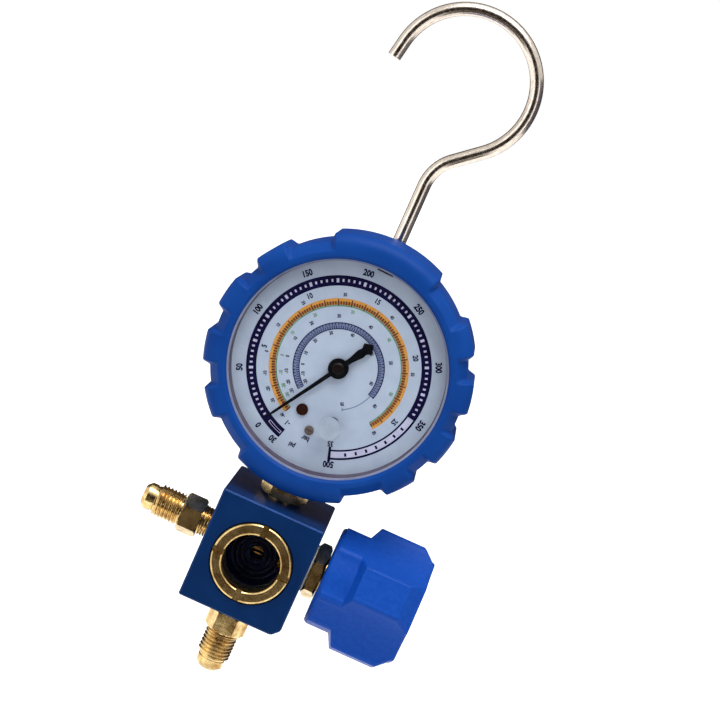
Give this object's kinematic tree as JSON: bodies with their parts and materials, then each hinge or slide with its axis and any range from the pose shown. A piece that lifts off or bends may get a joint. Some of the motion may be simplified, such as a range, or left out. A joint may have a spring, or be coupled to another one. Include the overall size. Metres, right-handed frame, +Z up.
{
  "type": "refrigerant manifold gauge",
  "caption": "Refrigerant manifold: drilled block with hose ports, sight glass and hand valve, a booted dial gauge on top and a hook to hang it by.",
  "frame": {"origin": "inside of the hook's crown at its highest point, where the gauge hangs from a bar", "axes": "+Z up along the hook's shank, -Y the front with the dial and the sight glass, +X towards the valve knob"},
  "size_m": [0.098, 0.0434, 0.2353],
  "materials": {
    "block_anodised": "satin blue anodised aluminium",
    "brass": "bright turned brass",
    "movement_brass": "fine brushed brass",
    "tube_bronze": "drawn bronze",
    "spring_bronze": "rolled bronze strip",
    "sight_glass": "clear polished glass",
    "window": "clear moulded plastic",
    "seal": "pale sealing plastic",
    "black_rubber": "smooth black rubber",
    "boot_rubber": "moulded blue rubber, fine sheen",
    "knob_plastic": "moulded blue plastic, fine texture",
    "stainless_steel": "turned stainless steel",
    "hook_steel": "polished bright steel rod",
    "rim_steel": "bright pressed ring",
    "case_paint": "black enamel",
    "dial_paint": "printed white enamel",
    "dark_screw": "dark oxide",
    "pointer_black": "matt black",
    "hub_cap": "dark brown oxide",
    "plug_plastic": "translucent white plastic"
  },
  "bodies": {
    "manifold": {"manifold_block": "block_anodised", "left_service_port": "brass", "bottom_service_port": "brass", "sight_glass_ring": "brass", "sight_glass": "sight_glass", "sight_glass_gasket": "seal", "valve_bonnet": "brass", "bonnet_seal": "seal", "stem_packing": "seal", "gauge_socket": "brass", "gauge_case": "case_paint", "case_screws": "stainless_steel", "blowout_plug": "black_rubber", "bezel_ring": "rim_steel", "lens": "window", "lens_plug": "plug_plastic", "lens_gasket": "black_rubber", "dial_spacer": "case_paint", "gauge_boot": "boot_rubber", "dial_plate": "dial_paint", "dial_screws": "dark_screw", "bourdon_tube": "tube_bronze", "tube_tip": "tube_bronze", "movement_front_plate": "movement_brass", "movement_rear_plate": "movement_brass", "movement_pillars": "movement_brass", "movement_screws": "stainless_steel", "hairspring": "spring_bronze", "hairspring_stud": "movement_brass", "hook_set_screw": "stainless_steel"},
    "piston": {"valve_piston": "brass", "piston_seal": "seal", "piston_oring": "black_rubber"},
    "knob": {"knob": "knob_plastic", "knob_screw": "stainless_steel", "valve_stem": "stainless_steel"},
    "sector": {"sector_gear": "movement_brass", "sector_arbor": "stainless_steel"},
    "pointer": {"pointer": "pointer_black", "pointer_cap": "hub_cap", "pinion_arbor": "movement_brass"},
    "link": {"link_bar": "movement_brass"},
    "hook": {"hook_rod": "hook_steel"},
    "zero_screw": {"zero_adjust_screw": "brass"}
  },
  "joints": [
    {"name": "stem_rise", "type": "slide", "parent": "manifold", "child": "piston", "axis": [1, 0, 0], "range_m": [0, 0.003]},
    {"name": "knob_turn", "type": "hinge", "parent": "piston", "child": "knob", "pos_m": [0.039, -0.016, -0.1858], "axis": [1, 0, 0], "range_deg": [0, 1080]},
    {"name": "sector_swing", "type": "hinge", "parent": "manifold", "child": "sector", "pos_m": [0.001, -0.0204, -0.1367], "axis": [0, -1, 0], "range_deg": [-1.3, 37.3]},
    {"name": "pointer_turn", "type": "hinge", "parent": "manifold", "child": "pointer", "pos_m": [0.001, -0.0204, -0.1199], "axis": [0, 1, 0], "range_deg": [-11, 311]},
    {"name": "link_pivot", "type": "hinge", "parent": "sector", "child": "link", "pos_m": [-0.00157, -0.0204, -0.14385], "axis": [0, -1, 0], "range_deg": [-37.5, 1.5]},
    {"name": "hook_swivel", "type": "hinge", "parent": "manifold", "child": "hook", "pos_m": [0.0017, 0, -0.1773], "axis": [0, 0, 1], "continuous": true},
    {"name": "zero_adjust_turn", "type": "hinge", "parent": "manifold", "child": "zero_screw", "pos_m": [0.00042, -0.024, -0.14219], "axis": [0, -1, 0], "range_deg": [-90, 90]}
  ],
  "couplings": [
    {"joint": "stem_rise", "follows": "knob_turn", "m_per_rad": 0.00015915},
    {"joint": "pointer_turn", "follows": "sector_swing", "ratio": 8.3333},
    {"joint": "link_pivot", "follows": "sector_swing", "ratio": -1}
  ]
}
